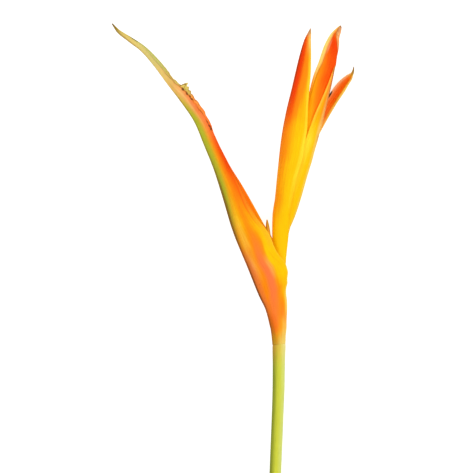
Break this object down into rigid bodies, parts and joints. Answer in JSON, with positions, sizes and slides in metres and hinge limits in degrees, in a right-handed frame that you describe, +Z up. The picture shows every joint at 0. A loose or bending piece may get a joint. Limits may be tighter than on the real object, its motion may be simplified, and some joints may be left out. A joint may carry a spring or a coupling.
{
  "type": "heliconia flower",
  "caption": "Cut heliconia flower lying down: bare stem, boat-shaped orange bracts in alternate rows, slim flowers inside the lowest one.",
  "frame": {"origin": "middle of the footprint, on the surface that the flower lies on", "axes": "+Y from the stem's cut end to the tips of the bracts, +Z up from the surface, +X towards the side of the second and fourth bracts"},
  "size_m": [0.127, 0.3092, 0.0148],
  "materials": {
    "stem_green": "satin",
    "bract_orange": "satin",
    "bract_red": "satin",
    "bract_yellow": "satin",
    "flower_tube": "satin"
  },
  "bodies": {
    "root": {"peduncle": "stem_green", "bract_1": "bract_orange", "bract_2": "bract_red", "bract_3": "bract_orange", "bract_4": "bract_yellow", "bract_5": "bract_orange", "flower_1": "flower_tube", "flower_2": "flower_tube", "flower_3": "flower_tube"}
  },
  "joints": []
}
